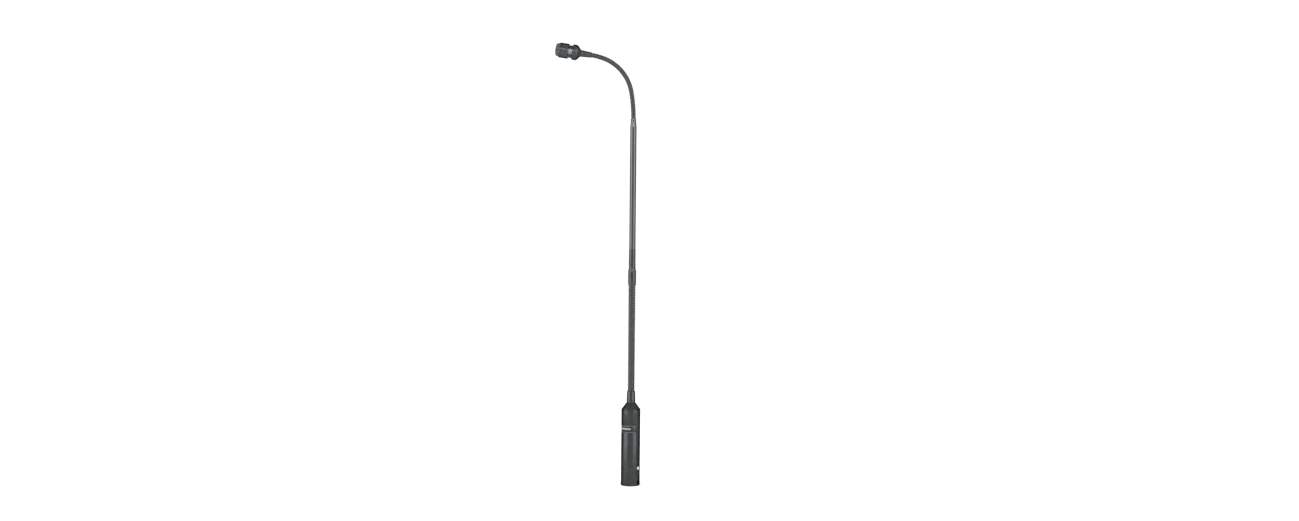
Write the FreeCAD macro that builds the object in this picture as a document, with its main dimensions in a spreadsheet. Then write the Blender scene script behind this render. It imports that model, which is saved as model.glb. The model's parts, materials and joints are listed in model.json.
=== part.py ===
import FreeCAD, Part
import math
import os

import Sketcher

# Plug-in gooseneck microphone, in millimetres.
# The barrel stands on the Z axis with its plug end at the origin and +Z towards the head.
# Both necks bend in the XZ plane at rest, so the head points along -X.

DIMENSIONS = {
    # barrel and plug
    "barrel_radius": 9.5,
    "barrel_length": 75.4,
    "barrel_edge": 0.5,
    "plug_bore": 8.1,
    "board_bore": 8.4,
    "cap_thread": 8.6,
    "cap_spigot_foot": 69.5,
    "insert_face": 14.0,
    "insert_back": 20.0,
    "pin_radius": 1.2,
    "pin_tip": 2.4,
    "pin_shoulder": 1.45,
    "pin_tail": 24.5,
    "pin_circle": 4.0,
    "insert_boss": 6.2,
    "screw_height": 17.5,
    "screw_radius": 1.6,
    "screw_length": 2.6,
    "screw_recess": 2.5,
    "recess_depth": 0.7,
    "slot_wide": 0.55,
    "screw_turn": 34.0,
    "notch_foot": 2.1,
    "notch_tall": 2.8,
    "notch_wide": 3.4,
    "label_foot": 53.0,
    "label_tall": 7.0,
    "label_depth": 0.4,
    "label_turn": 172.0,
    "label_sweep": 134.0,
    # barrel cap, ferrule and nut
    "cone_land": 0.3,
    "cone_top": 82.3,
    "cone_mouth": 4.55,
    "ferrule_foot": 68.6,
    "ferrule_shank": 4.0,
    "ferrule_low": 4.38,
    "ferrule_high": 4.08,
    "ferrule_top": 93.9,
    "nut_foot": 70.0,
    "nut_thick": 3.4,
    "nut_corner": 5.4,
    # circuit board and what it carries
    "board_foot": 27.0,
    "board_tall": 38.0,
    "board_wide": 13.0,
    "board_thick": 1.2,
    "capacitor_radius": 2.1,
    "capacitor_length": 5.2,
    # leads
    "lead_radius": 1.1,
    "wire_radius": 0.45,
    # lower neck
    "low_radius": 3.55,
    "low_bore": 1.7,
    "low_cone": 9.8,
    "low_foot": 93.9,
    "low_head": 200.2,
    "low_links": 10,
    # coupler and tube
    "coupler_radius": 3.95,
    "coupler_shoulder": 213.8,
    "coupler_top": 216.7,
    "sleeve_radius": 3.36,
    "sleeve_top": 236.0,
    "tube_radius": 3.17,
    "tube_bore": 2.65,
    "tube_foot": 212.8,
    "swage_foot": 358.2,
    "swage_top": 363.2,
    "swage_radius": 2.68,
    "tube_top": 366.7,
    # upper neck: three arcs, each a radius and the angle it turns
    "up_radius": 2.36,
    "up_bore": 1.3,
    "up_cone": 14.8,
    "up_links": 12,
    "arc_1_radius": 155.0,
    "arc_1_turn": 10.0,
    "arc_2_radius": 43.85,
    "arc_2_turn": 60.0,
    "arc_3_radius": 65.3,
    "arc_3_turn": 11.3,
    # head, measured forward from the rear end of its stem
    "stem_back": 2.68,
    "stem_front": 3.35,
    "stem_length": 10.8,
    "stem_bore": 2.43,
    "collar_back": 14.4,
    "collar_front": 19.0,
    "collar_radius": 7.7,
    "collar_bevel": 0.55,
    "cap_back": 23.2,
    "cap_front": 32.1,
    "cap_radius": 7.45,
    "cap_wall": 0.42,
    "housing_bore": 6.25,
    "housing_front": 27.2,
    "leg_turn": 36.0,
    "leg_wide": 2.9,
    "mesh_radius": 5.5,
    "grille_radius": 6.72,
    "grille_wall": 0.5,
    "grille_front": 36.2,
    "grille_corner": 2.9,
    "can_radius": 4.85,
    "can_back": 23.6,
    "can_front": 30.6,
}

doc = FreeCAD.newDocument("microphone")
sheet = doc.addObject("Spreadsheet::Sheet", "Dims")
for row, (alias, value) in enumerate(DIMENSIONS.items(), start=1):
    sheet.set(f"A{row}", alias)
    sheet.set(f"B{row}", str(value))
    sheet.setAlias(f"B{row}", alias)
doc.recompute()

nodes = {}


def dim(alias):
    """A driving dimension as the sheet holds it."""
    return float(sheet.get(alias))


def bind(item, **expressions):
    """Binds properties of an object to expressions on the sheet; an underscore stands for a dot."""
    for name, expression in expressions.items():
        item.setExpression(name.replace("_", "."), expression)
    return item


def keep(label, item):
    """Names a finished sub-part, whose label is its file's name."""
    item.Label = label
    nodes[label] = item
    return item


def turned(name, profile):
    """A body of revolution about its own Z axis, from a closed outline of (radius, height) expressions."""
    body = doc.addObject("PartDesign::Body", name)
    sketch = body.newObject("Sketcher::SketchObject", name + "_outline")
    plane = next(f for f in body.Origin.OriginFeatures if f.Role == "XZ_Plane")
    sketch.AttachmentSupport = [(plane, "")]
    sketch.MapMode = "FlatFace"
    count = len(profile)
    spread = [FreeCAD.Vector(30 + 9 * math.cos(6.28 * i / count), 30 + 9 * math.sin(6.28 * i / count), 0)
              for i in range(count)]
    for i in range(count):
        sketch.addGeometry(Part.LineSegment(spread[i], spread[(i + 1) % count]))
    for i in range(count):
        sketch.addConstraint(Sketcher.Constraint("Coincident", i, 2, (i + 1) % count, 1))
    for i, (radius, height) in enumerate(profile):
        for kind, axis, letter, size in (("DistanceX", -2, "r", radius), ("DistanceY", -1, "z", height)):
            if size == "0":
                sketch.addConstraint(Sketcher.Constraint("PointOnObject", i, 1, axis))
                continue
            index = sketch.addConstraint(Sketcher.Constraint(kind, -1, 1, i, 1, 10.0))
            sketch.renameConstraint(index, f"{letter}{i}")
            sketch.setExpression(f"Constraints.{letter}{i}", size)
    turn = body.newObject("PartDesign::Revolution", name + "_turn")
    turn.Profile = sketch
    turn.ReferenceAxis = (sketch, ["V_Axis"])
    turn.Angle = 360.0
    sketch.Visibility = False
    body.Tip = turn
    return body


def rod(name, radius, foot, head):
    """A turned solid rod on its own Z axis, from foot to head."""
    return turned(name, [("0", foot), (radius, foot), (radius, head), ("0", head)])


def cylinder(name, radius, height, x="0", y="0", z="0"):
    """An upright cylinder whose foot is at x, y, z; every size is an expression."""
    item = doc.addObject("Part::Cylinder", name)
    item.setExpression("Radius", radius)
    item.setExpression("Height", height)
    return moved(item, x, y, z)


def box(name, wide, deep, tall, x="0", y="0", z="0"):
    """A box centred on x, with its near face at y and its foot at z; every size is an expression."""
    item = doc.addObject("Part::Box", name)
    item.setExpression("Length", wide)
    item.setExpression("Width", deep)
    item.setExpression("Height", tall)
    return moved(item, f"{x} - ({wide}) / 2", y, z)


def moved(item, x, y, z):
    """Binds an object's place to expressions."""
    for letter, size in zip("xyz", (x, y, z)):
        item.setExpression(f"Placement.Base.{letter}", size)
    return item


def cut(name, base, *tools):
    """The base with every tool taken away."""
    result = base
    for i, tool in enumerate(tools):
        step = doc.addObject("Part::Cut", f"{name}_cut_{i}")
        step.Base = result
        step.Tool = tool
        result = step
    return result


def together(kind, name, items):
    """A Part::MultiFuse of touching items, or a Part::Compound of separate ones."""
    item = doc.addObject(kind, name)
    setattr(item, "Shapes" if kind == "Part::MultiFuse" else "Links", items)
    return item


def spun(item, degrees, height="0"):
    """Turns an object about the Z axis, at a height."""
    item.setExpression("Placement.Base.z", height)
    item.setExpression("Placement.Rotation.Angle", degrees)
    return item


def sector(name, inner, outer, tall, sweep):
    """A ring's sector, from the X axis anticlockwise through the sweep."""
    whole = doc.addObject("Part::Cylinder", name + "_outside")
    whole.setExpression("Radius", outer)
    whole.setExpression("Height", tall)
    whole.setExpression("Angle", sweep)
    hollow = doc.addObject("Part::Cylinder", name + "_inside")
    hollow.setExpression("Radius", inner)
    hollow.setExpression("Height", f"{tall} + 2")
    hollow.setExpression("Placement.Base.z", "-1")
    return cut(name, whole, hollow)


# ---------------------------------------------------------------- barrel and plug

shell = turned("barrel_blank", [
    ("Dims.plug_bore", "0"),
    ("Dims.barrel_radius - Dims.barrel_edge", "0"),
    ("Dims.barrel_radius", "Dims.barrel_edge"),
    ("Dims.barrel_radius", "Dims.barrel_length"),
    ("Dims.cap_thread", "Dims.barrel_length"),
    ("Dims.cap_thread", "Dims.cap_spigot_foot"),
    ("Dims.board_bore", "Dims.cap_spigot_foot"),
    ("Dims.board_bore", "Dims.insert_back"),
    ("Dims.plug_bore", "Dims.insert_back"),
])
label_recess = spun(
    sector("label_recess", "Dims.barrel_radius - Dims.label_depth", "Dims.barrel_radius + 1",
           "Dims.label_tall", "Dims.label_sweep"),
    "Dims.label_turn", height="Dims.label_foot")
# The insert screw's hole and its wider recess run in from the barrel's side.
screw_hole = doc.addObject("Part::Cylinder", "screw_hole")
bind(screw_hole, Radius="Dims.screw_radius + 0.05", Height="4")
screw_sink = doc.addObject("Part::Cylinder", "screw_sink")
bind(screw_sink, Radius="Dims.screw_recess", Height="2")


def radial(item, degrees, radius, height):
    """Lays an upright object along the barrel's radius, pointing outward, at a turn about the Z axis."""
    turn = FreeCAD.Rotation(FreeCAD.Vector(0, 0, 1), degrees) * FreeCAD.Rotation(FreeCAD.Vector(0, 1, 0), 90)
    place = FreeCAD.Rotation(FreeCAD.Vector(0, 0, 1), degrees).multVec(FreeCAD.Vector(radius, 0, height))
    item.Placement = FreeCAD.Placement(place, turn)
    return item


screw_direction = -dim("screw_turn")
radial(screw_hole, screw_direction, dim("barrel_radius") - 2.5, dim("screw_height"))
radial(screw_sink, screw_direction, dim("barrel_radius") - dim("recess_depth"), dim("screw_height"))
latch_notch = doc.addObject("Part::Box", "latch_notch")
bind(latch_notch, Length="Dims.notch_tall", Width="Dims.notch_wide", Height="4")
radial(latch_notch, screw_direction, dim("barrel_radius") - 3, dim("notch_foot") + dim("notch_tall"))
side = FreeCAD.Rotation(FreeCAD.Vector(0, 0, 1), screw_direction)
latch_notch.Placement.Base += side.multVec(FreeCAD.Vector(0, -dim("notch_wide") / 2, 0))
keep("barrel_housing", cut("barrel_housing", shell, label_recess, screw_hole, screw_sink, latch_notch))

plate = sector("label_plate", "Dims.barrel_radius - Dims.label_depth + 0.02", "Dims.barrel_radius - 0.16",
               "Dims.label_tall - 0.3", "Dims.label_sweep - 2")
keep("label_plate", spun(plate, "Dims.label_turn + 1", height="Dims.label_foot + 0.15"))

insert_disc = cylinder("insert_disc", "Dims.plug_bore - 0.05", "Dims.insert_back - Dims.insert_face",
                       z="Dims.insert_face")
insert_boss = cylinder("insert_boss", "Dims.insert_boss", "2.4", z="Dims.insert_back - 0.2")
insert_body = together("Part::MultiFuse", "insert_body", [insert_disc, insert_boss])
insert_thread = doc.addObject("Part::Cylinder", "insert_thread")
bind(insert_thread, Radius="Dims.screw_radius + 0.05", Height="6")
radial(insert_thread, screw_direction, dim("plug_bore") - 1.4, dim("screw_height"))

pins = []
pin_holes = []
wires = []
for number, degrees in enumerate((90, 210, 330), start=1):
    x = f"Dims.pin_circle * cos({degrees})"
    y = f"Dims.pin_circle * sin({degrees})"
    pin = turned(f"pin_{number}", [
        ("0", "Dims.pin_tip"),
        ("Dims.pin_radius * 0.55", "Dims.pin_tip"),
        ("Dims.pin_radius", "Dims.pin_tip + 0.7"),
        ("Dims.pin_radius", "Dims.insert_face"),
        ("Dims.pin_shoulder", "Dims.insert_face"),
        ("Dims.pin_shoulder", "Dims.insert_back"),
        ("Dims.pin_radius", "Dims.insert_back"),
        ("Dims.pin_radius", "Dims.pin_tail"),
        ("0", "Dims.pin_tail"),
    ])
    pins.append(moved(pin, x, y, "0"))
    pin_holes.append(cylinder(f"pin_hole_{number}", "Dims.pin_shoulder + 0.02", "20",
                              x, y, "Dims.insert_face - 5"))
    wires.append(cylinder(f"wire_{number}", "Dims.wire_radius", "Dims.board_foot + 3 - Dims.pin_tail - 0.2",
                          x, y, "Dims.pin_tail + 0.1"))
keep("contact_pins", together("Part::Compound", "contact_pins", pins))
keep("contact_wires", together("Part::Compound", "contact_wires", wires))
keep("xlr_insert", cut("xlr_insert", insert_body, insert_thread, *pin_holes))

screw = doc.addObject("Part::Cylinder", "screw_blank")
bind(screw, Radius="Dims.screw_radius", Height="Dims.screw_length")
radial(screw, screw_direction, dim("barrel_radius") - dim("screw_length") - 0.15, dim("screw_height"))
slot = doc.addObject("Part::Box", "screw_slot")
bind(slot, Length="Dims.slot_wide", Width="6", Height="1")
radial(slot, screw_direction, dim("barrel_radius") - 0.65, dim("screw_height") + dim("slot_wide") / 2)
slot.Placement.Base += side.multVec(FreeCAD.Vector(0, -3, 0))
keep("insert_screw", cut("insert_screw", screw, slot))

tab = doc.addObject("Part::Box", "ground_tab")
bind(tab, Length="0.35", Width="2.4", Height="5.4")
keep("ground_tab", moved(tab, "6.6", "-1.2", "Dims.insert_back + 0.05"))

# ---------------------------------------------------------------- barrel cap, ferrule and nut

keep("barrel_cap", turned("barrel_cap", [
    ("Dims.ferrule_shank + 0.05", "Dims.cone_top"),
    ("Dims.cone_mouth", "Dims.cone_top"),
    ("Dims.barrel_radius", "Dims.barrel_length + Dims.cone_land + 0.02"),
    ("Dims.barrel_radius", "Dims.barrel_length + 0.02"),
    ("Dims.cap_thread - 0.05", "Dims.barrel_length + 0.02"),
    ("Dims.cap_thread - 0.05", "Dims.cap_spigot_foot + 0.1"),
    ("Dims.nut_corner + 0.6", "Dims.cap_spigot_foot + 0.1"),
    ("Dims.nut_corner + 0.6", "Dims.nut_foot + Dims.nut_thick + 0.05"),
    ("Dims.ferrule_shank + 0.05", "Dims.nut_foot + Dims.nut_thick + 0.05"),
]))
keep("base_ferrule", turned("base_ferrule", [
    ("Dims.low_radius + 0.04", "Dims.ferrule_top"),
    ("Dims.ferrule_high - 0.25", "Dims.ferrule_top"),
    ("Dims.ferrule_high", "Dims.ferrule_top - 0.35"),
    ("Dims.ferrule_low", "Dims.cone_top + 0.02"),
    ("Dims.ferrule_shank", "Dims.cone_top + 0.02"),
    ("Dims.ferrule_shank", "Dims.ferrule_foot"),
    ("Dims.lead_radius + 0.5", "Dims.ferrule_foot"),
    ("Dims.lead_radius + 0.5", "Dims.cone_top - 2"),
    ("Dims.low_radius + 0.04", "Dims.cone_top - 2"),
]))
nut_hex = doc.addObject("Part::Prism", "nut_hex")
nut_hex.Polygon = 6
bind(nut_hex, Circumradius="Dims.nut_corner", Height="Dims.nut_thick")
moved(nut_hex, "0", "0", "Dims.nut_foot")
nut_bore = cylinder("nut_bore", "Dims.ferrule_shank + 0.03", "Dims.nut_thick + 2", z="Dims.nut_foot - 1")
keep("neck_nut", cut("neck_nut", nut_hex, nut_bore))

# ---------------------------------------------------------------- circuit board and its parts

keep("circuit_board", box("circuit_board", "Dims.board_wide", "Dims.board_thick", "Dims.board_tall",
                          y="-Dims.board_thick / 2", z="Dims.board_foot"))
rings = []
for number, height in enumerate(("Dims.board_foot + 2", "Dims.board_foot + Dims.board_tall - 5"), start=1):
    ring = cylinder(f"ring_{number}", "Dims.board_bore - 0.05", "3", z=height)
    hole = cylinder(f"ring_hole_{number}", "Dims.board_wide / 2 + 0.2", "5", z=f"{height} - 1")
    rings.append(cut(f"board_ring_{number}", ring, hole))
keep("board_rings", together("Part::Compound", "board_rings", rings))
core = box("core", "8.6", "4.6", "9", y="Dims.board_thick / 2 + 0.3", z="Dims.board_foot + 8")
bobbin = box("bobbin", "6.0", "5.6", "6.4", y="Dims.board_thick / 2 + 0.02", z="Dims.board_foot + 9.3")
keep("output_transformer", together("Part::MultiFuse", "output_transformer", [core, bobbin]))
cans = []
for number, height in enumerate(("Dims.board_foot + 9", "Dims.board_foot + 15"), start=1):
    can = doc.addObject("Part::Cylinder", f"can_{number}")
    bind(can, Radius="Dims.capacitor_radius", Height="Dims.capacitor_length")
    can.Placement.Rotation = FreeCAD.Rotation(FreeCAD.Vector(1, 0, 0), 90)
    cans.append(moved(can, "0", "-Dims.board_thick / 2 - 0.02", height))
keep("board_capacitors", together("Part::Compound", "board_capacitors", cans))
chips = []
for number, (x, height) in enumerate((("-3.2", "22"), ("3.2", "22"), ("0", "27")), start=1):
    chips.append(box(f"chip_{number}", "3", "1.1", "1.5", x, "Dims.board_thick / 2 + 0.02",
                     f"Dims.board_foot + {height}"))
keep("board_transistors", together("Part::Compound", "board_transistors", chips))
board_top = "(Dims.board_foot + Dims.board_tall)"
keep("base_lead", cylinder("base_lead", "Dims.lead_radius", f"Dims.low_foot - {board_top}",
                           z=f"{board_top} + 0.2"))

# ---------------------------------------------------------------- necks


def link_outline(radius, bore, angle, length, plain_foot=False, plain_head=False):
    """A neck link: a bored cylinder with ends coned about the hinge points, so that neighbours can tilt."""
    inner_gap = f"{bore} * tan({angle})"
    outer_gap = f"{radius} * tan({angle})"
    foot = ("0", "0") if plain_foot else (inner_gap, outer_gap)
    head = (length, length) if plain_head else (f"{length} - {inner_gap}", f"{length} - {outer_gap}")
    return [(bore, foot[0]), (radius, foot[1]), (radius, head[1]), (bore, head[0])]


def aim(start, end):
    """The placement that carries the Z axis onto the line from start to end."""
    return FreeCAD.Placement(start, FreeCAD.Rotation(FreeCAD.Vector(0, 0, 1), end - start))


low_pitch = "(Dims.low_head - Dims.low_foot) / Dims.low_links"
low_ends = 11.6  # how far the lower neck reaches into the ferrule and the coupler
low_sizes = ("Dims.low_radius", "Dims.low_bore", "Dims.low_cone")
root = turned("lower_neck_root", link_outline(*low_sizes, f"{low_ends} + {low_pitch} / 2", plain_foot=True))
keep("lower_neck_root", moved(root, "0", "0", f"Dims.low_foot - {low_ends}"))
for number in range(1, int(dim("low_links"))):
    name = f"lower_neck_link_{number:02d}"
    link = turned(name, link_outline(*low_sizes, low_pitch))
    keep(name, moved(link, "0", "0", f"Dims.low_foot + {low_pitch} * ({number} - 0.5)"))
tip = turned("lower_neck_tip", link_outline(*low_sizes, f"{low_ends} + {low_pitch} / 2", plain_head=True))
keep("lower_neck_tip", moved(tip, "0", "0", f"Dims.low_head - {low_pitch} / 2"))


def upper_arcs():
    """The upper neck's arcs from the tube's top: radius, and the heading from vertical before and after."""
    heading = 0.0
    for number in (1, 2, 3):
        turn = math.radians(dim(f"arc_{number}_turn"))
        yield dim(f"arc_{number}_radius"), heading, heading + turn
        heading += turn


def upper_path(distance):
    """The point and heading on the upper neck's centreline, a distance up from the tube's top."""
    place = FreeCAD.Vector(0, 0, dim("tube_top"))
    for radius, before, after in upper_arcs():
        here = min(after, before + distance / radius)
        across = math.cos(here) - math.cos(before)
        along = math.sin(here) - math.sin(before)
        place += FreeCAD.Vector(across, 0, along) * radius
        distance -= (here - before) * radius
        if here < after:
            break
    return place, here


up_length = sum(radius * (after - before) for radius, before, after in upper_arcs())
up_count = int(dim("up_links"))
up_pitch = up_length / up_count
stations = [upper_path(up_pitch * (number + 0.5))[0] for number in range(up_count)]
stem_place, stem_heading = upper_path(up_length)
forward = FreeCAD.Vector(-math.sin(stem_heading), 0, math.cos(stem_heading))
up_sizes = ("Dims.up_radius", "Dims.up_bore", "Dims.up_cone")
tube_grip = 11.0  # how far the upper neck reaches down into the tube
stem_grip = 6.0  # how far it reaches into the head's stem

grip_foot = FreeCAD.Vector(0, 0, dim("tube_top") - tube_grip)
up_spans = [("upper_neck_root", grip_foot, stations[0])]
for number in range(1, up_count):
    up_spans.append((f"upper_neck_link_{number:02d}", stations[number - 1], stations[number]))
up_spans.append(("upper_neck_tip", stations[-1], stem_place + forward * stem_grip))
for name, start, end in up_spans:
    outline = link_outline(*up_sizes, f"{(end - start).Length:.5f}",
                           plain_foot=name.endswith("root"), plain_head=name.endswith("tip"))
    keep(name, turned(name, outline)).Placement = aim(start, end)

# ---------------------------------------------------------------- coupler and tube

keep("tube_coupler", turned("tube_coupler", [
    ("Dims.low_radius + 0.04", "Dims.low_head"),
    ("Dims.coupler_radius - 0.2", "Dims.low_head"),
    ("Dims.coupler_radius", "Dims.low_head + 0.3"),
    ("Dims.coupler_radius", "Dims.coupler_shoulder"),
    ("Dims.coupler_radius - 0.2", "Dims.coupler_shoulder + 1"),
    ("Dims.sleeve_radius + 0.05", "Dims.coupler_top"),
    ("Dims.sleeve_radius", "Dims.coupler_top + 0.6"),
    ("Dims.tube_radius + 0.1", "Dims.sleeve_top"),
    ("Dims.tube_radius + 0.02", "Dims.sleeve_top"),
    ("Dims.tube_radius + 0.02", "Dims.tube_foot - 0.2"),
    ("Dims.low_radius + 0.04", "Dims.tube_foot - 0.2"),
]))
keep("rigid_tube", turned("rigid_tube", [
    ("Dims.tube_bore", "Dims.tube_foot"),
    ("Dims.tube_radius", "Dims.tube_foot"),
    ("Dims.tube_radius", "Dims.swage_foot"),
    ("Dims.swage_radius", "Dims.swage_top"),
    ("Dims.swage_radius", "Dims.tube_top - 0.2"),
    ("Dims.swage_radius - 0.15", "Dims.tube_top"),
    ("Dims.up_radius + 0.06", "Dims.tube_top"),
    ("Dims.up_radius + 0.06", "Dims.tube_top - 12"),
    ("Dims.tube_bore", "Dims.tube_top - 12"),
]))
keep("tube_lead", cylinder("tube_lead", "Dims.lead_radius", "Dims.tube_top - 14 - Dims.tube_foot",
                           z="Dims.tube_foot + 1"))

# ---------------------------------------------------------------- head

head_nodes = []


def head_piece(label, item):
    """A finished piece of the head, built upright from the rear end of the stem."""
    head_nodes.append(keep(label, item))


head_piece("head_stem", turned("head_stem", [
    ("Dims.stem_bore", "0"),
    ("Dims.stem_back - 0.12", "0"),
    ("Dims.stem_back", "0.3"),
    ("Dims.stem_front", "Dims.stem_length"),
    ("Dims.stem_bore + 0.3", "Dims.stem_length"),
    ("Dims.stem_bore + 0.3", "Dims.collar_back + 2"),
    ("1.2", "Dims.collar_back + 2"),
    ("1.2", "Dims.stem_length - 3.5"),
    ("Dims.stem_bore", "Dims.stem_length - 3.5"),
]))
housing_blank = turned("housing_blank", [
    ("Dims.stem_bore + 0.33", "Dims.stem_length + 0.02"),
    ("Dims.stem_front + 0.05", "Dims.stem_length + 0.02"),
    ("Dims.collar_radius - 0.5", "Dims.collar_back"),
    ("Dims.collar_radius", "Dims.collar_back + 0.7"),
    ("Dims.collar_radius", "Dims.collar_front - Dims.collar_bevel"),
    ("Dims.collar_radius - Dims.collar_bevel", "Dims.collar_front"),
    ("Dims.cap_radius - 0.1", "Dims.collar_front"),
    ("Dims.cap_radius - 0.1", "Dims.cap_back"),
    ("Dims.cap_radius - Dims.cap_wall - 0.03", "Dims.cap_back"),
    ("Dims.cap_radius - Dims.cap_wall - 0.03", "Dims.housing_front"),
    ("Dims.housing_bore", "Dims.housing_front"),
    ("Dims.housing_bore", "Dims.collar_back + 2.6"),
    ("Dims.stem_bore + 0.33", "Dims.collar_back + 2.6"),
])
# Four windows between collar and cap leave four legs, each as wide as leg_wide.
windows = []
leg_turns = [dim("leg_turn") + 90 * number for number in range(4)]
window_ring = sector("window_ring", "Dims.housing_bore - 0.6", "Dims.cap_radius + 1",
                     "Dims.cap_back - Dims.collar_front - 0.02", "360")
legs = [spun(box(f"leg_{number}", "10", "Dims.leg_wide", "Dims.cap_back"), str(turn))
        for number, turn in enumerate(leg_turns)]
for leg, turn in zip(legs, leg_turns):
    leg.setExpression("Placement.Base.x", f"Dims.leg_wide / 2 * sin({turn})")
    leg.setExpression("Placement.Base.y", f"-Dims.leg_wide / 2 * cos({turn})")
legs_whole = together("Part::MultiFuse", "legs_whole", legs)
window_cut = cut("window_cut", window_ring, legs_whole)
moved(window_cut, "0", "0", "Dims.collar_front + 0.01")
head_piece("head_housing", cut("head_housing", housing_blank, window_cut))

head_piece("vent_mesh", turned("vent_mesh", [
    ("Dims.mesh_radius - 0.25", "Dims.collar_back + 2.7"),
    ("Dims.mesh_radius", "Dims.collar_back + 2.7"),
    ("Dims.mesh_radius", "Dims.cap_back + 3.2"),
    ("Dims.mesh_radius - 0.25", "Dims.cap_back + 3.2"),
]))
head_piece("head_cap", turned("head_cap", [
    ("Dims.cap_radius - Dims.cap_wall", "Dims.cap_back + 0.03"),
    ("Dims.cap_radius - 0.12", "Dims.cap_back + 0.03"),
    ("Dims.cap_radius", "Dims.cap_back + 0.15"),
    ("Dims.cap_radius", "Dims.cap_front - 0.5"),
    ("Dims.cap_radius - 0.3", "Dims.cap_front"),
    ("Dims.grille_radius + 0.02", "Dims.cap_front"),
    ("Dims.grille_radius + 0.02", "Dims.cap_front - 0.8"),
    ("Dims.cap_radius - Dims.cap_wall", "Dims.cap_front - 0.8"),
]))


def dome(name, radius, back, front, corner):
    """A cylinder with a rounded front edge, standing from back to front."""
    blank = cylinder(name + "_blank", radius, f"{front} - ({back})", z=back)
    doc.recompute()
    rounded = doc.addObject("Part::Fillet", name)
    rounded.Base = blank
    high = max(range(len(blank.Shape.Edges)), key=lambda i: blank.Shape.Edges[i].CenterOfMass.z)
    rounded.Edges = [(high + 1, dim("grille_corner") - corner, dim("grille_corner") - corner)]
    return rounded


grille_outside = dome("grille_outside", "Dims.grille_radius", "Dims.housing_front + 0.1",
                      "Dims.grille_front", 0)
grille_inside = dome("grille_inside", "Dims.grille_radius - Dims.grille_wall", "Dims.housing_front",
                     "Dims.grille_front - Dims.grille_wall", 0.5)
head_piece("grille", cut("grille", grille_outside, grille_inside))
head_piece("grille_foam", dome("grille_foam", "Dims.grille_radius - Dims.grille_wall - 0.05",
                               "Dims.can_front + 0.2", "Dims.grille_front - Dims.grille_wall - 0.05", 0.55))
head_piece("capsule_can", turned("capsule_can", [
    ("Dims.can_radius - 0.3", "Dims.can_back"),
    ("Dims.can_radius", "Dims.can_back"),
    ("Dims.can_radius", "Dims.can_front"),
    ("1.5", "Dims.can_front"),
    ("1.5", "Dims.can_front - 0.3"),
    ("Dims.can_radius - 0.3", "Dims.can_front - 0.3"),
]))
head_piece("capsule_diaphragm", rod("capsule_diaphragm", "Dims.can_radius - 0.35", "Dims.can_front - 0.5",
                                    "Dims.can_front - 0.38"))
spacer = cylinder("spacer_disc", "Dims.can_radius - 0.35", "0.3", z="Dims.can_front - 0.85")
spacer_hole = cylinder("spacer_hole", "Dims.can_radius - 0.95", "2", z="Dims.can_front - 2")
head_piece("capsule_spacer", cut("capsule_spacer", spacer, spacer_hole))
plate_disc = cylinder("plate_disc", "Dims.can_radius - 0.6", "0.5", z="Dims.can_front - 1.4")
plate_holes = [cylinder(f"plate_hole_{turn}", "0.35", "2", f"2.2 * cos({turn})", f"2.2 * sin({turn})",
                        "Dims.can_front - 2") for turn in range(0, 360, 60)]
head_piece("capsule_backplate", cut("capsule_backplate", plate_disc, *plate_holes))
cup = cylinder("insulator_cup", "Dims.can_radius - 0.35", "3.6", z="Dims.can_front - 5.05")
cup_hole = cylinder("insulator_hole", "Dims.can_radius - 1.3", "8", z="Dims.can_front - 8")
head_piece("capsule_insulator", cut("capsule_insulator", cup, cup_hole))
head_piece("capsule_board", rod("capsule_board", "Dims.can_radius - 0.35", "Dims.can_back + 0.9",
                                "Dims.can_back + 1.8"))
gasket = cylinder("gasket_disc", "Dims.housing_bore - 0.1", "3", z="Dims.can_front - 3.6")
gasket_hole = cylinder("gasket_hole", "Dims.can_radius + 0.02", "8", z="Dims.can_front - 5")
head_piece("capsule_gasket", cut("capsule_gasket", gasket, gasket_hole))
head_piece("head_lead", rod("head_lead", "0.8", "6.4", "Dims.can_back + 0.8"))
for item in head_nodes:
    upright = item.Placement
    item.Placement = aim(stem_place, stem_place + forward) * upright

# ---------------------------------------------------------------- checks and files

doc.recompute()
for item in doc.Objects:
    if "Invalid" in item.State or "Error" in item.State:
        raise RuntimeError(f"{item.Name} ({item.Label}) failed: {item.State}")
for label, item in nodes.items():
    if item.Shape.isNull() or not item.Shape.isValid() or item.Shape.Volume <= 0:
        raise RuntimeError(f"{label} has no valid solid")

os.makedirs("parts", exist_ok=True)
for label, item in nodes.items():
    item.Shape.exportStep(f"parts/{label}.step")
    print(f"{label:24s} {len(item.Shape.Solids)} solid(s) {item.Shape.Volume:10.2f} mm3")

print(f"{len(nodes)} sub-parts")
for number, place in enumerate(stations, start=1):
    print(f"upper station {number:2d}: x {place.x:.4f} z {place.z:.4f}")
print(f"head stem: x {stem_place.x:.4f} z {stem_place.z:.4f} heading {math.degrees(stem_heading):.3f}")
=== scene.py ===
import json
import math

import bmesh
import bpy
from mathutils import Matrix, Vector


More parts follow.
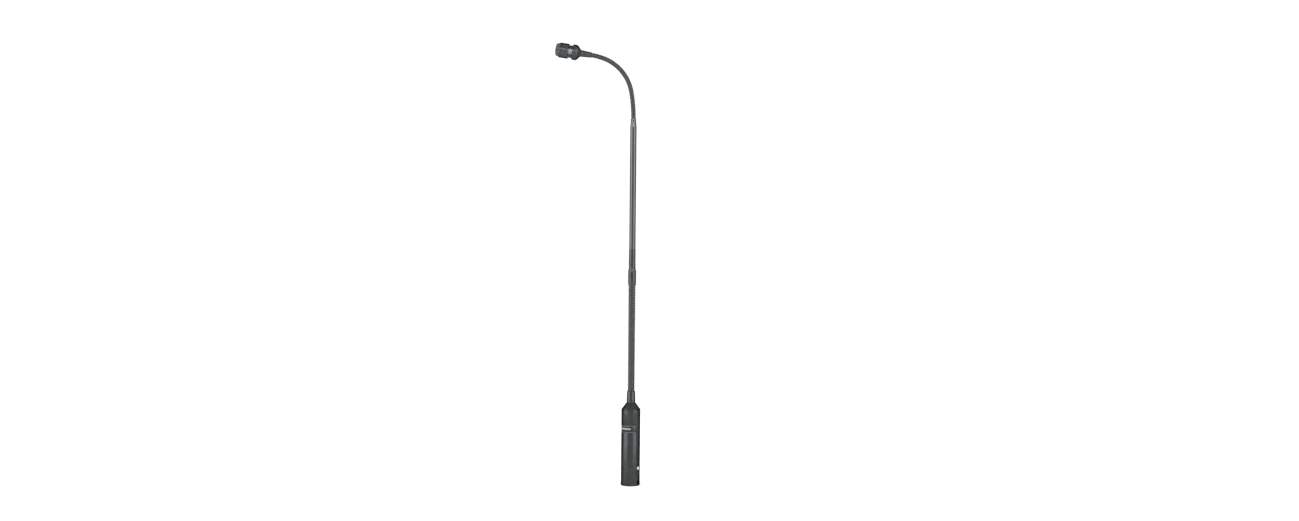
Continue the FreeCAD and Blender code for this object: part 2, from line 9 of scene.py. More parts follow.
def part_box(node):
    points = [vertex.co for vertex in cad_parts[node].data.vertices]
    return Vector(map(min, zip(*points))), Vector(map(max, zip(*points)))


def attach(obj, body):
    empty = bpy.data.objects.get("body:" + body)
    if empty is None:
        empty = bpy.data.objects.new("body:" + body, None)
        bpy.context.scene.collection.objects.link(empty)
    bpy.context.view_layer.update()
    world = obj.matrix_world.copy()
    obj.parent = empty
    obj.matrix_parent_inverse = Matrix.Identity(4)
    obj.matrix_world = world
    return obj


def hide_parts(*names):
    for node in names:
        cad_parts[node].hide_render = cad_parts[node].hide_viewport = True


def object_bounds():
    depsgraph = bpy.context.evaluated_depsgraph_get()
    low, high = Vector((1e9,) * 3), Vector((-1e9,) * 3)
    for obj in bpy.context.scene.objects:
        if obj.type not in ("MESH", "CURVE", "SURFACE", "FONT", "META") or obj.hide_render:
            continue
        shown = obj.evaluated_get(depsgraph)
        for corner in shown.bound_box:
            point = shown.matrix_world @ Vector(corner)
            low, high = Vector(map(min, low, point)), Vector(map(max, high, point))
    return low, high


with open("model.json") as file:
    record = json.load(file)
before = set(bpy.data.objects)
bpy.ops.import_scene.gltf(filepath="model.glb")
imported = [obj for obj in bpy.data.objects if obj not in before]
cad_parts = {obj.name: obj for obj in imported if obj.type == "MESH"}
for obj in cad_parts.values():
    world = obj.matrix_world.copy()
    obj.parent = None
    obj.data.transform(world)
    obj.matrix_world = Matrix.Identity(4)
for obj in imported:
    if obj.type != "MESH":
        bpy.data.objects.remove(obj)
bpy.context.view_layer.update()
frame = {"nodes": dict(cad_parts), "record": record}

MM = 0.001

# The upper neck's centreline above the tube: three arcs, each a radius in mm and the degrees it turns.
NECK_ARCS = ((155.0, 10.0), (43.85, 60.0), (65.3, 11.3))
UPPER_HINGES = 12
UPPER_TURNS_PER_HINGE = 5
LOWER_HINGES = 10
LOWER_TURNS_PER_HINGE = 4


# ---------------------------------------------------------------- mesh helpers


def add_mesh(name, verts, faces, sharp_degrees=35.0):
    """A mesh object with smooth faces and edges that stay sharp above an angle."""
    mesh = bpy.data.meshes.new(name)
    mesh.from_pydata(verts, [], faces)
    mesh.validate()
    work = bmesh.new()
    work.from_mesh(mesh)
    bmesh.ops.recalc_face_normals(work, faces=work.faces)
    work.to_mesh(mesh)
    work.free()
    smooth(mesh, sharp_degrees)
    item = bpy.data.objects.new(name, mesh)
    bpy.context.scene.collection.objects.link(item)
    return item


def smooth(mesh, sharp_degrees=35.0):
    """Smooth shading with sharp edges above an angle."""
    for face in mesh.polygons:
        face.use_smooth = True
    mesh.set_sharp_from_angle(angle=math.radians(sharp_degrees))


def fillet(corners, steps=4):
    """A closed outline of (radius, height, rounding) in mm, with each rounded corner turned into an arc."""
    points = []
    count = len(corners)
    for i, (r, z, rounding) in enumerate(corners):
        here = Vector((r, z))
        if rounding <= 0:
            points.append(here)
            continue
        before = Vector(corners[i - 1][:2]) - here
        after = Vector(corners[(i + 1) % count][:2]) - here
        half = before.angle(after) / 2
        reach = min(rounding / math.tan(half), before.length * 0.49, after.length * 0.49)
        start = here + before.normalized() * reach
        end = here + after.normalized() * reach
        for k in range(steps + 1):
            t = k / steps
            points.append(start * (1 - t) ** 2 + here * 2 * t * (1 - t) + end * t ** 2)
    return points


def lathe(name, corners, place=None, steps=96, sharp_degrees=35.0):
    """A solid ring turned about its Z axis from a closed outline of (radius, height, rounding) in mm."""
    outline = fillet(corners)
    count = len(outline)
    verts = []
    faces = []
    for s in range(steps):
        angle = 2 * math.pi * s / steps
        for point in outline:
            verts.append((point.x * MM * math.cos(angle), point.x * MM * math.sin(angle), point.y * MM))
    for s in range(steps):
        one = s * count
        two = ((s + 1) % steps) * count
        for k in range(count):
            after = (k + 1) % count
            faces.append((one + k, one + after, two + after, two + k))
    item = add_mesh(name, verts, faces, sharp_degrees)
    if place is not None:
        item.data.transform(place)
    return item


def carve(item, cutters, edge=0.1):
    """Cuts shapes out of a mesh, then rounds the edges that are left a little."""
    for cutter in cutters:
        step = item.modifiers.new("cut", "BOOLEAN")
        step.operation = "DIFFERENCE"
        step.solver = "EXACT"
        step.object = cutter
    bevel = item.modifiers.new("edge", "BEVEL")
    bevel.width = edge * MM
    bevel.segments = 2
    bevel.limit_method = "ANGLE"
    bevel.angle_limit = math.radians(40)
    bevel.harden_normals = False
    made = bpy.data.meshes.new_from_object(item.evaluated_get(bpy.context.evaluated_depsgraph_get()))
    item.modifiers.clear()
    item.data = made
    smooth(made)
    for cutter in cutters:
        bpy.data.objects.remove(cutter)
    return item


def prism(name, outline, low, high, place):
    """A solid between two heights from a closed outline of (x, y) in mm, carried by a matrix."""
    count = len(outline)
    verts = [(x * MM, y * MM, z * MM) for z in (low, high) for x, y in outline]
    faces = [tuple(range(count))[::-1], tuple(range(count, 2 * count))]
    for k in range(count):
        after = (k + 1) % count
        faces.append((k, after, count + after, count + k))
    item = add_mesh(name, verts, faces)
    item.data.transform(place)
    return item


def ring_sector(inner, outer, first, last, steps):
    """The outline of a ring's sector between two angles in degrees, as (x, y) in mm."""
    angles = [math.radians(first + (last - first) * k / steps) for k in range(steps + 1)]
    outside = [(outer * math.cos(a), outer * math.sin(a)) for a in angles]
    inside = [(inner * math.cos(a), inner * math.sin(a)) for a in reversed(angles)]
    return outside + inside


def sweep(verts, faces, points, normals, radius, sides=6, closed=False):
    """Adds a round wire along points to vertex and face lists; normals hold each section steady."""
    first = len(verts)
    count = len(points)
    for i, point in enumerate(points):
        ahead = points[(i + 1) % count] if closed or i + 1 < count else point
        behind = points[i - 1] if closed or i > 0 else point
        along = (ahead - behind).normalized()
        up = (normals[i] - along * normals[i].dot(along)).normalized()
        side = along.cross(up)
        for k in range(sides):
            angle = 2 * math.pi * k / sides
            verts.append(point + (up * math.cos(angle) + side * math.sin(angle)) * radius)
    spans = count if closed else count - 1
    for i in range(spans):
        one = first + i * sides
        two = first + ((i + 1) % count) * sides
        for k in range(sides):
            after = (k + 1) % sides
            faces.append((one + k, one + after, two + after, two + k))
    if not closed:
        faces.append(tuple(first + k for k in range(sides))[::-1])
        faces.append(tuple(first + (count - 1) * sides + k for k in range(sides)))


# ---------------------------------------------------------------- materials


def surface(name, low, high, rough, metallic=0.0, patch=260.0, grain=5200.0, bump=0.05, stretch=(1, 1, 1),
            specular=0.5, edge=1.0, contrast=(0.35, 0.65)):
    """A finish that drifts between two tones in patches, with a finer grain in roughness and relief."""
    made = bpy.data.materials.new(name)
    made.use_nodes = True
    nodes = made.node_tree.nodes
    links = made.node_tree.links
    shader = nodes["Principled BSDF"]
    shader.inputs["Metallic"].default_value = metallic
    shader.inputs["Specular IOR Level"].default_value = specular
    shader.inputs["Specular Tint"].default_value = (edge, edge, edge, 1)
    where = nodes.new("ShaderNodeTexCoord")
    mapping = nodes.new("ShaderNodeMapping")
    mapping.inputs["Scale"].default_value = stretch
    links.new(where.outputs["Object"], mapping.inputs["Vector"])
    patches = nodes.new("ShaderNodeTexNoise")
    patches.inputs["Scale"].default_value = patch
    patches.inputs["Detail"].default_value = 5.0
    links.new(mapping.outputs["Vector"], patches.inputs["Vector"])
    tone = nodes.new("ShaderNodeValToRGB")
    tone.color_ramp.elements[0].position = contrast[0]
    tone.color_ramp.elements[0].color = (*low, 1)
    tone.color_ramp.elements[1].position = contrast[1]
    tone.color_ramp.elements[1].color = (*high, 1)
    links.new(patches.outputs["Fac"], tone.inputs["Fac"])
    links.new(tone.outputs["Color"], shader.inputs["Base Color"])
    fine = nodes.new("ShaderNodeTexNoise")
    fine.inputs["Scale"].default_value = grain
    fine.inputs["Detail"].default_value = 3.0
    links.new(mapping.outputs["Vector"], fine.inputs["Vector"])
    shine = nodes.new("ShaderNodeMapRange")
    shine.inputs["To Min"].default_value = rough[0]
    shine.inputs["To Max"].default_value = rough[1]
    links.new(fine.outputs["Fac"], shine.inputs["Value"])
    links.new(shine.outputs["Result"], shader.inputs["Roughness"])
    relief = nodes.new("ShaderNodeBump")
    relief.inputs["Strength"].default_value = bump
    relief.inputs["Distance"].default_value = 0.00005
    links.new(fine.outputs["Fac"], relief.inputs["Height"])
    links.new(relief.outputs["Normal"], shader.inputs["Normal"])
    return made


finishes = {
    "barrel_finish": surface("barrel_finish", (0.037, 0.038, 0.039), (0.046, 0.048, 0.049),
                             (0.27, 0.34), metallic=1.0, bump=0.08, edge=0.05),
    "neck_fitting": surface("neck_fitting", (0.042, 0.043, 0.044), (0.052, 0.054, 0.055), (0.15, 0.2),
                            metallic=1.0, bump=0.02, edge=0.0),
    "neck_winding": surface("neck_winding", (0.046, 0.048, 0.048), (0.062, 0.065, 0.064), (0.17, 0.24),
                            metallic=1.0, patch=420.0, bump=0.03, edge=0.0),
    "tube_finish": surface("tube_finish", (0.07, 0.07, 0.071), (0.08, 0.081, 0.082), (0.14, 0.17),
                           metallic=1.0, stretch=(1, 1, 0.15), patch=300.0, bump=0.01, edge=0.0),
    "head_finish": surface("head_finish", (0.046, 0.049, 0.052), (0.06, 0.064, 0.067), (0.24, 0.31),
                           metallic=1.0, bump=0.08, edge=0.05),
    "grille_wire": surface("grille_wire", (0.11, 0.115, 0.11), (0.24, 0.25, 0.235), (0.22, 0.36),
                           metallic=1.0, patch=700.0, bump=0.1, edge=0.2),
    "mesh_silver": surface("mesh_silver", (0.32, 0.3, 0.31), (0.56, 0.54, 0.55), (0.22, 0.38),
                           metallic=1.0, patch=900.0, bump=0.08),
    "foam": surface("foam", (0.004, 0.004, 0.004), (0.016, 0.016, 0.016), (0.9, 1.0), patch=2600.0,
                    grain=3600.0, bump=0.9, specular=0.1),
    "label_black": surface("label_black", (0.004, 0.004, 0.0035), (0.007, 0.007, 0.006), (0.4, 0.5),
                           bump=0.05, specular=0.2),
    "label_bar": surface("label_bar", (0.15, 0.15, 0.14), (0.24, 0.24, 0.23), (0.45, 0.6), patch=1500.0,
                         bump=0.05),
    "insert_plastic": surface("insert_plastic", (0.012, 0.012, 0.012), (0.022, 0.022, 0.022),
                              (0.45, 0.6), bump=0.2),
    "contact_silver": surface("contact_silver", (0.68, 0.66, 0.6), (0.86, 0.85, 0.8), (0.12, 0.25),
                              metallic=1.0),
    "screw_steel": surface("screw_steel", (0.5, 0.5, 0.49), (0.8, 0.8, 0.78), (0.14, 0.3), metallic=1.0,
                           stretch=(1, 1, 6), patch=1500.0),
    "plain_brass": surface("plain_brass", (0.55, 0.38, 0.13), (0.76, 0.56, 0.24), (0.2, 0.38),
                           metallic=1.0),
    "board_laminate": surface("board_laminate", (0.008, 0.08, 0.03), (0.014, 0.13, 0.05), (0.3, 0.45)),
    "transformer_steel": surface("transformer_steel", (0.22, 0.22, 0.23), (0.42, 0.42, 0.44),
                                 (0.3, 0.5), metallic=1.0, stretch=(1, 1, 8)),
    "capacitor_sleeve": surface("capacitor_sleeve", (0.02, 0.025, 0.07), (0.03, 0.04, 0.1),
                                (0.15, 0.3)),
    "chip_epoxy": surface("chip_epoxy", (0.012, 0.012, 0.012), (0.025, 0.025, 0.025), (0.5, 0.7),
                          bump=0.3),
    "wire_sheath": surface("wire_sheath", (0.4, 0.03, 0.02), (0.55, 0.05, 0.03), (0.25, 0.4)),
    "lead_sheath": surface("lead_sheath", (0.012, 0.012, 0.012), (0.022, 0.022, 0.022), (0.55, 0.75),
                           bump=0.2),
    "capsule_metal": surface("capsule_metal", (0.62, 0.62, 0.63), (0.8, 0.8, 0.81), (0.25, 0.4),
                             metallic=1.0),
    "diaphragm_film": surface("diaphragm_film", (0.6, 0.52, 0.25), (0.75, 0.66, 0.34), (0.1, 0.2),
                              metallic=0.8),
    "gasket_rubber": surface("gasket_rubber", (0.01, 0.01, 0.01), (0.02, 0.02, 0.02), (0.6, 0.8),
                             bump=0.3),
}


def finish_piece(item, body, slot, *nodes, look=None):
    """Gives a piece its finish, its body and the CAD nodes it stands for."""
    item.data.materials.clear()
    item.data.materials.append(finishes[look or slot])
    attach(item, body)
    if nodes:
        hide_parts(*nodes)
    return item


def height_mm(node, end):
    """The lowest (0) or highest (1) point of a CAD node, in mm."""
    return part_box(node)[end].z / MM


def radius_mm(node):
    """Half the width of a CAD node across the view, in mm."""
    return (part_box(node)[1].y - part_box(node)[0].y) / 2 / MM


# ---------------------------------------------------------------- barrel

barrel_radius = radius_mm("barrel_housing")
barrel_top = height_mm("barrel_housing", 1)
label_foot = height_mm("label_plate", 0)
label_top = height_mm("label_plate", 1)
insert_face = height_mm("xlr_insert", 0)
PLUG_BORE = 8.1
BOARD_BORE = 8.4
SCREW_TURN = -34.0
SCREW_HEIGHT = 17.5
NOTCH_HEIGHT = 3.5
LABEL_FIRST = 172.0
LABEL_LAST = 306.0
FIELD_LAST = 276.0
BAR_FIRST = 207.0
BAR_LAST = 271.0

barrel = lathe("barrel_shell", [
    (PLUG_BORE, 0, 0.25),
    (barrel_radius, 0, 0.5),
    (barrel_radius, barrel_top, 0.18),
    (8.62, barrel_top, 0.05),
    (8.62, barrel_top - 5.9, 0),
    (BOARD_BORE, barrel_top - 5.9, 0),
    (BOARD_BORE, 20, 0),
    (PLUG_BORE, 20, 0),
], steps=144)
upright = Matrix.Identity(4)
label_ring = ring_sector(barrel_radius - 0.4, barrel_radius + 2, LABEL_FIRST, LABEL_LAST, 48)
recess = prism("recess_tool", label_ring, label_foot - 0.15, label_top + 0.15, upright)
to_side = Matrix.Rotation(math.radians(SCREW_TURN), 4, "Z") @ Matrix.Rotation(math.radians(90), 4, "Y")
to_screw = Matrix.Translation((0, 0, SCREW_HEIGHT * MM)) @ to_side
to_notch = Matrix.Translation((0, 0, NOTCH_HEIGHT * MM)) @ to_side
round_48 = [(math.cos(2 * math.pi * k / 48), math.sin(2 * math.pi * k / 48)) for k in range(48)]
sink_outline = [(2.5 * x, 2.5 * y) for x, y in round_48]
sink = prism("sink_tool", sink_outline, barrel_radius - 0.7, barrel_radius + 2, to_screw)
hole_outline = [(1.65 * x, 1.65 * y) for x, y in round_48]
hole = prism("hole_tool", hole_outline, barrel_radius - 2.6, barrel_radius, to_screw)
notch_outline = [(-1.4, -1.7), (1.4, -1.7), (1.4, 1.7), (-1.4, 1.7)]
notch = prism("notch_tool", notch_outline, barrel_radius - 3, barrel_radius + 2, to_notch)
carve(barrel, [recess, sink, hole, notch])
finish_piece(barrel, "base", "barrel_finish", "barrel_housing")

panel_ring = ring_sector(barrel_radius - 0.37, barrel_radius - 0.14, LABEL_FIRST + 0.8, LABEL_LAST - 0.8, 64)
label = prism("label_panel", panel_ring, label_foot, label_top, upright)
carve(label, [], edge=0.08)
finish_piece(label, "base", "label_black", "label_plate", look="barrel_finish")


def label_print(name, first, last, low, high, look):
    """A thin printed patch on the label, between two turns in degrees and two heights in mm."""
    patch_ring = ring_sector(barrel_radius - 0.16, barrel_radius - 0.11, first, last, 64)
    patch = prism(name, patch_ring, low, high, upright)
    return finish_piece(patch, "base", "label_black", look=look)


label_print("label_field", LABEL_FIRST + 6, FIELD_LAST, label_foot + 1.7, label_top - 0.6, "label_black")
bar_ring = ring_sector(barrel_radius - 0.13, barrel_radius - 0.08, BAR_FIRST, BAR_LAST, 48)
bar = prism("label_bar", bar_ring, label_foot + 2.9, label_foot + 4.7, upright)
finish_piece(bar, "base", "label_black", look="label_bar")
line_first = LABEL_FIRST + 3
line_last = LABEL_LAST - 2
label_print("label_line_low", line_first, line_last, label_foot + 0.3, label_foot + 0.5, "label_bar")
label_print("label_line_high", line_first, line_last, label_top - 0.3, label_top - 0.1, "label_bar")

# ---------------------------------------------------------------- barrel cap, ferrule, coupler and tube

cone_top = height_mm("barrel_cap", 1)
ferrule_top = height_mm("base_ferrule", 1)
coupler_foot = height_mm("tube_coupler", 0)
sleeve_top = height_mm("tube_coupler", 1)
tube_foot = height_mm("rigid_tube", 0)
tube_top = height_mm("rigid_tube", 1)
coil_radius = radius_mm("lower_neck_link_01")
coupler_radius = radius_mm("tube_coupler")
tube_radius = radius_mm("rigid_tube")
sleeve_radius = tube_radius + 0.19

cap = lathe("barrel_cone", [
    (4.05, cone_top, 0.05),
    (4.6, cone_top, 0.22),
    (barrel_radius, barrel_top + 0.42, 0.45),
    (barrel_radius - 0.06, barrel_top + 0.03, 0.12),
    (8.55, barrel_top + 0.03, 0),
    (8.55, barrel_top - 5.8, 0.2),
    (6.0, barrel_top - 5.8, 0.1),
    (6.0, barrel_top - 1.9, 0),
    (4.05, barrel_top - 1.9, 0),
], steps=128)
finish_piece(cap, "base", "barrel_finish", "barrel_cap")
ferrule = lathe("neck_ferrule", [
    (coil_radius + 0.04, ferrule_top, 0.05),
    (4.08, ferrule_top, 0.3),
    (4.38, cone_top + 1.0, 0.4),
    (4.38, cone_top + 0.02, 0.12),
    (4.0, cone_top + 0.02, 0),
    (4.0, cone_top - 13.6, 0.2),
    (1.6, cone_top - 13.6, 0),
    (1.6, cone_top - 2.0, 0),
    (coil_radius + 0.04, cone_top - 2.0, 0),
], steps=96)
finish_piece(ferrule, "base", "neck_fitting", "base_ferrule")
coupler = lathe("tube_sleeve", [
    (coil_radius + 0.04, coupler_foot, 0.05),
    (coupler_radius, coupler_foot, 0.28),
    (coupler_radius, coupler_foot + 13.6, 0.7),
    (sleeve_radius + 0.06, coupler_foot + 16.5, 0.5),
    (sleeve_radius, coupler_foot + 17.2, 0.2),
    (tube_radius + 0.1, sleeve_top, 0.06),
    (tube_radius + 0.01, sleeve_top, 0),
    (tube_radius + 0.01, tube_foot - 0.2, 0),
    (coil_radius + 0.04, tube_foot - 0.2, 0),
], steps=96)
finish_piece(coupler, "tube", "neck_fitting", "tube_coupler")
tube = lathe("tube_long", [
    (2.65, tube_foot, 0),
    (tube_radius, tube_foot, 0.1),
    (tube_radius, tube_top - 8.5, 0.9),
    (2.68, tube_top - 3.5, 0.9),
    (2.68, tube_top, 0.25),
    (2.42, tube_top, 0.05),
    (2.42, tube_top - 12, 0),
    (2.65, tube_top - 12, 0),
], steps=96)
finish_piece(tube, "tube", "tube_finish", "rigid_tube")


# ---------------------------------------------------------------- flexible necks


def upper_path(distance):
    """The upper neck's centreline: the point in metres and the lean, a distance in mm above the tube."""
    x = 0.0
    z = tube_top
    lean = 0.0
    if distance < 0:
        return Vector((0, 0, (z + distance) * MM)), 0.0
    for radius, degrees in NECK_ARCS:
        after = min(lean + math.radians(degrees), lean + distance / radius)
        x += radius * (math.cos(after) - math.cos(lean))
        z += radius * (math.sin(after) - math.sin(lean))
        distance -= radius * (after - lean)
        lean = after
    x -= distance * math.sin(lean)
    z += distance * math.cos(lean)
    return Vector((x, 0, z)) * MM, lean


def lower_path(distance):
    """The lower neck's centreline, which stands straight up from the ferrule."""
    return Vector((0, 0, (ferrule_top + distance) * MM)), 0.0


def winding(name, path, radius, pitch, first_turn, last_turn, shape, steps):
    """A stretch of wound flat wire: one convex band a turn, with a narrow groove between neighbours."""
    half, groove, crown = shape
    right = [(0.24, -0.3 * crown), (half - 0.04, -0.8 * crown), (half - 0.012, -crown - 0.04),
             (half, -crown - 0.14), (half + 0.01, -groove), (0.5, -groove)]
    section = [(-offset, drop) for offset, drop in reversed(right)] + [(0, 0)] + right
    verts = []
    faces = []
    count = len(section)
    stations = round((last_turn - first_turn) * steps)
    for i in range(stations + 1):
        turn = first_turn + i / steps
        angle = 2 * math.pi * turn
        for offset, drop in section:
            centre, lean = path((turn + offset) * pitch)
            across = Vector((math.cos(lean), 0, math.sin(lean)))
            out = across * math.cos(angle) + Vector((0, 1, 0)) * math.sin(angle)
            verts.append(centre + out * (radius + drop) * MM)
    for i in range(stations):
        for k in range(count - 1):
            one = i * count + k
            faces.append((one, one + count, one + count + 1, one + 1))
    return add_mesh(name, verts, faces, sharp_degrees=40.0)


def neck(prefix, path, span, hinges, turns, radius, shape, ends, steps, overrun):
    """Winds a whole neck: one stretch on each link between two hinges, and half a stretch at each end."""
    pitch = span / hinges / turns
    for j in range(hinges + 1):
        first = (j - 0.5) * turns if j > 0 else -overrun
        last = (j + 0.5) * turns if j < hinges else hinges * turns + overrun
        piece = winding(f"{prefix}_winding_{j:02d}", path, radius, pitch, first, last, shape, steps)
        if j == 0:
            body, node = ends[0], f"{prefix}_neck_root"
        elif j == hinges:
            body, node = ends[1], f"{prefix}_neck_tip"
        else:
            body, node = f"{prefix}_link_{j:02d}", f"{prefix}_neck_link_{j:02d}"
        finish_piece(piece, body, "neck_winding", node)


# Each band's half width as a share of the pitch, and its groove's and crown's depths in mm.
LOWER_BAND = (0.33, 0.7, 0.24)
UPPER_BAND = (0.36, 0.5, 0.16)
UPPER_RADIUS = 2.36
neck("lower", lower_path, coupler_foot - ferrule_top, LOWER_HINGES, LOWER_TURNS_PER_HINGE, coil_radius,
     LOWER_BAND, ("base", "tube"), 36, 1.5)
upper_length = sum(radius * math.radians(degrees) for radius, degrees in NECK_ARCS)
neck("upper", upper_path, upper_length, UPPER_HINGES, UPPER_TURNS_PER_HINGE, UPPER_RADIUS,
     UPPER_BAND, ("tube", "head"), 30, 2.0)

# ---------------------------------------------------------------- head

stem_place, head_lean = upper_path(upper_length)
head = Matrix.Translation(stem_place) @ Matrix.Rotation(-head_lean, 4, "Y")
CAP_RADIUS = 7.45
COLLAR_RADIUS = 7.7
GRILLE_RADIUS = 6.72
COLLAR_FRONT = 19.0
CAP_BACK = 23.2
CAP_FRONT = 32.1
GRILLE_FRONT = 36.2
GRILLE_CORNER = 2.9
LEG_TURN = 36.0
LEG_HALF_ANGLE = math.degrees(math.asin(1.45 / 6.8))

stem = lathe("head_taper", [
    (2.42, 0, 0.05),
    (2.68, 0, 0.22),
    (3.35, 10.8, 0.3),
    (2.73, 10.8, 0),
    (2.73, 16.4, 0),
    (1.2, 16.4, 0),
    (1.2, 7.3, 0),
    (2.42, 7.3, 0),
], head)
finish_piece(stem, "head", "head_finish", "head_stem")
housing = lathe("head_body", [
    (2.76, 10.82, 0),
    (3.55, 10.82, 0.2),
    (6.9, 13.9, 0.9),
    (COLLAR_RADIUS, 15.0, 0.5),
    (COLLAR_RADIUS, COLLAR_FRONT - 0.55, 0.1),
    (COLLAR_RADIUS - 0.55, COLLAR_FRONT, 0.1),
    (7.35, COLLAR_FRONT, 0),
    (7.35, CAP_BACK, 0),
    (7.0, CAP_BACK, 0),
    (7.0, 27.2, 0.1),
    (6.25, 27.2, 0.1),
    (6.25, 17.0, 0),
    (2.76, 17.0, 0),
], head, steps=128)
windows = []
for quarter in range(4):
    leg = LEG_TURN + 90.0 * quarter
    opening = ring_sector(5.6, 9.5, leg + LEG_HALF_ANGLE, leg + 90.0 - LEG_HALF_ANGLE, 24)
    windows.append(prism(f"window_tool_{quarter}", opening, COLLAR_FRONT + 0.01, CAP_BACK - 0.01, head))
carve(housing, windows, edge=0.12)
finish_piece(housing, "head", "head_finish", "head_housing")
cap_front = lathe("head_shell", [
    (7.03, CAP_BACK + 0.03, 0),
    (CAP_RADIUS, CAP_BACK + 0.03, 0.16),
    (CAP_RADIUS, CAP_FRONT, 0.5),
    (GRILLE_RADIUS + 0.05, CAP_FRONT, 0.1),
    (GRILLE_RADIUS + 0.05, CAP_FRONT - 0.8, 0),
    (7.03, CAP_FRONT - 0.8, 0),
], head, steps=128)
finish_piece(cap_front, "head", "head_finish", "head_cap")
bead = lathe("grille_bead", [
    (GRILLE_RADIUS - 0.18, CAP_FRONT - 0.2, 0.1),
    (GRILLE_RADIUS + 0.24, CAP_FRONT - 0.2, 0.1),
    (GRILLE_RADIUS + 0.24, CAP_FRONT + 0.24, 0.2),
    (GRILLE_RADIUS - 0.18, CAP_FRONT + 0.24, 0.2),
], head, steps=128)
finish_piece(bead, "head", "grille_wire")

# The grille's wire radius, the height of its waves and the spacing of its wires, in mm.
WIRE = 0.2
WAVE = 0.19
WEAVE = 1.08
cup_radius = GRILLE_RADIUS - WIRE - WAVE
cup_front = GRILLE_FRONT - WIRE - WAVE
cup_corner = GRILLE_CORNER - WIRE - WAVE
cup_flat = cup_radius - cup_corner
cup_bend = cup_corner * math.pi / 2
cup_skirt = cup_front - cup_corner - (CAP_FRONT - 0.6)


def pressed(x, y):
    """Where a point of flat woven sheet lies once pressed over the cup, and the way out of the cup there."""
    reach = math.hypot(x, y)
    across = Vector((x / reach, y / reach, 0)) if reach > 1e-9 else Vector((1, 0, 0))
    forward = Vector((0, 0, 1))
    if reach <= cup_flat:
        return across * reach + forward * cup_front, forward
    turn = min((reach - cup_flat) / cup_corner, math.pi / 2)
    out = across * math.sin(turn) + forward * math.cos(turn)
    drop = max(0.0, reach - cup_flat - cup_bend)
    return across * cup_flat + forward * (cup_front - cup_corner - drop) + out * cup_corner, out


def grille_wires():
    """Two families of woven wires, laid out flat and pressed over the cup."""
    verts = []
    faces = []
    edge = cup_flat + cup_bend + cup_skirt
    rows = int(edge / WEAVE) + 1
    for family in (0, 1):
        for i in range(-rows, rows):
            across = (i + 0.5) * WEAVE
            if abs(across) > edge - 0.3:
                continue
            reach = math.sqrt(edge ** 2 - across ** 2)
            steps = max(4, round(2 * reach / WEAVE * 5))
            points = []
            normals = []
            for k in range(steps + 1):
                along = reach * (2 * k / steps - 1)
                lift = WAVE * math.cos(math.pi * (along / WEAVE - 0.5 + i))
                if family == 0:
                    place, out = pressed(across, along)
                    points.append((place + out * lift) * MM)
                else:
                    place, out = pressed(along, across)
                    points.append((place - out * lift) * MM)
                normals.append(out)
            sweep(verts, faces, points, normals, WIRE * MM)
    return verts, faces


grille = add_mesh("grille_weave", *grille_wires(), sharp_degrees=80.0)
grille.data.transform(head)
finish_piece(grille, "head", "grille_wire", "grille")

foam_radius = cup_radius - WAVE - WIRE - 0.08
foam_front = cup_front - WAVE - WIRE - 0.08
foam = lathe("wind_foam", [
    (0.05, 30.8, 0),
    (foam_radius, 30.8, 0.2),
    (foam_radius, foam_front, 2.3),
    (0.05, foam_front, 0),
], head, steps=96)
finish_piece(foam, "head", "foam", "grille_foam")

MESH_RADIUS = 5.42
MESH_FOOT = 17.2
MESH_TOP = 25.8
MESH_WIRE = 0.105
MESH_COUNT = 60


def sleeve_wires():
    """Fine wires along and round the vent sleeve, over and under each other."""
    verts = []
    faces = []
    pitch = 2 * math.pi * MESH_RADIUS / MESH_COUNT
    hoops = int((MESH_TOP - MESH_FOOT) / pitch)
    for i in range(MESH_COUNT):
        angle = 2 * math.pi * (i + 0.5) / MESH_COUNT
        out = Vector((math.cos(angle), math.sin(angle), 0))
        points = []
        for k in range(3 * hoops + 1):
            along = k / 3
            lift = MESH_WIRE * math.cos(math.pi * (along + i))
            points.append((out * (MESH_RADIUS + lift) + Vector((0, 0, MESH_FOOT + along * pitch))) * MM)
        sweep(verts, faces, points, [out] * len(points), MESH_WIRE * MM, sides=5)
    for j in range(hoops + 1):
        points = []
        for k in range(3 * MESH_COUNT):
            place = k / 3
            angle = 2 * math.pi * (place + 0.5) / MESH_COUNT
            lift = -MESH_WIRE * math.cos(math.pi * (place + j))
            out = Vector((math.cos(angle), math.sin(angle), 0))
            points.append((out * (MESH_RADIUS + lift) + Vector((0, 0, MESH_FOOT + j * pitch))) * MM)
        sweep(verts, faces, points, [Vector((0, 0, 1))] * len(points), MESH_WIRE * MM, sides=5, closed=True)
    return verts, faces


vent = add_mesh("vent_weave", *sleeve_wires(), sharp_degrees=80.0)
vent.data.transform(head)
finish_piece(vent, "head", "mesh_silver", "vent_mesh")
liner = lathe("vent_liner", [
    (5.02, MESH_FOOT, 0),
    (5.17, MESH_FOOT, 0.05),
    (5.17, MESH_TOP, 0.05),
    (5.02, MESH_TOP, 0),
], head, steps=96)
finish_piece(liner, "head", "mesh_silver")

# ---------------------------------------------------------------- CAD parts that are shown as they are

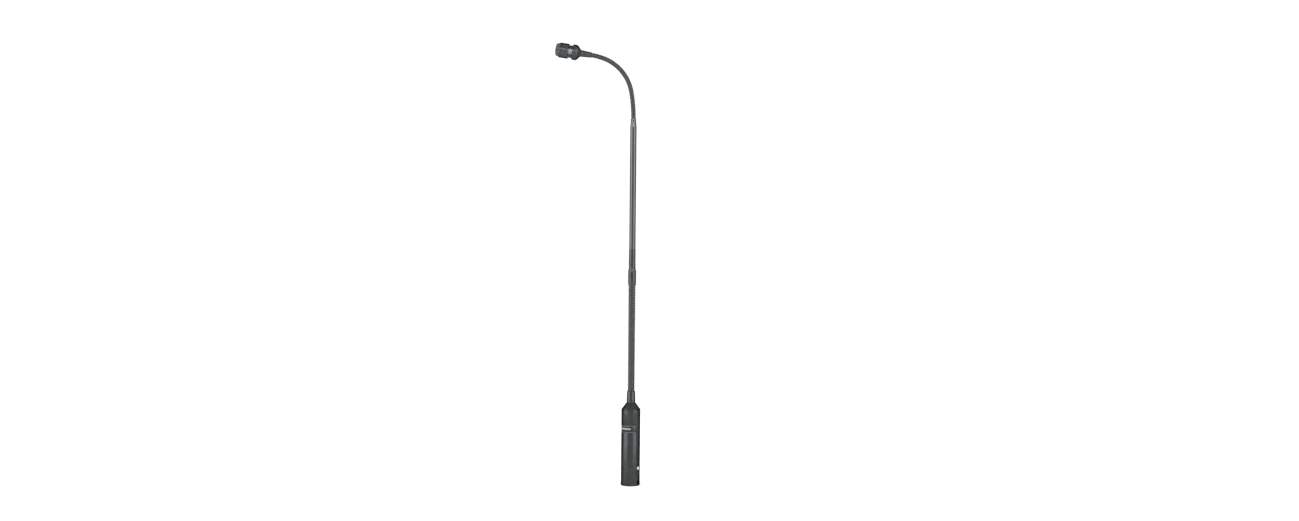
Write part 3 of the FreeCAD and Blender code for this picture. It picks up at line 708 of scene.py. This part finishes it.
for row in frame["record"]["subparts"]:
    node = frame["nodes"][row["node"]]
    node.data.materials.clear()
    node.data.materials.append(finishes[row["material_slot"]])
    if not node.hide_render:
        edge = node.modifiers.new("edge", "BEVEL")
        edge.width = 0.00006
        edge.segments = 1
        edge.limit_method = "ANGLE"
        edge.angle_limit = math.radians(40)

# ---------------------------------------------------------------- floor, light and camera

bpy.ops.mesh.primitive_plane_add(size=400, location=(0, 0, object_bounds()[0].z - 0.0001))
floor = bpy.context.object
floor.name = "floor"
paper = surface("floor_paper", (0.96, 0.96, 0.96), (0.98, 0.98, 0.98), (0.85, 0.95), patch=6.0, grain=400.0,
                bump=0.02, specular=0.1)
floor.data.materials.append(paper)

world = bpy.data.worlds.new("studio")
world.use_nodes = True
world.node_tree.nodes["Background"].inputs["Color"].default_value = (1, 1, 1, 1)
world.node_tree.nodes["Background"].inputs["Strength"].default_value = 1.08
bpy.context.scene.world = world
bpy.context.scene.view_settings.view_transform = "Standard"

look_at = Vector((0, 0, 0.24))


def softbox(name, place, wide, tall, radiance):
    """A soft rectangular light that faces the microphone."""
    light = bpy.data.lights.new(name, "AREA")
    light.shape = "RECTANGLE"
    light.size = wide
    light.size_y = tall
    light.energy = radiance * math.pi * wide * tall
    item = bpy.data.objects.new(name, light)
    bpy.context.scene.collection.objects.link(item)
    item.location = place
    item.rotation_euler = (look_at - Vector(place)).to_track_quat("-Z", "Y").to_euler()
    return item


softbox("left_softbox", (-1.08, -0.52, 0.4), 1.1, 1.4, 3.2)
softbox("right_softbox", (1.02, -0.72, 0.4), 1.0, 1.4, 2.9)
softbox("front_softbox", (-0.05, -1.4, 0.8), 0.8, 0.22, 6.0)

CAMERA_DISTANCE = 1.160
camera_data = bpy.data.cameras.new("main_camera")
camera_data.lens = 32.06
camera_data.sensor_width = 36.0
camera_data.clip_end = 1000
camera = bpy.data.objects.new("main_camera", camera_data)
bpy.context.scene.collection.objects.link(camera)
camera.location = (0.0173, -CAMERA_DISTANCE, 0.2249)
camera.rotation_euler = (math.radians(90), math.radians(-0.52), 0)
bpy.context.scene.camera = camera
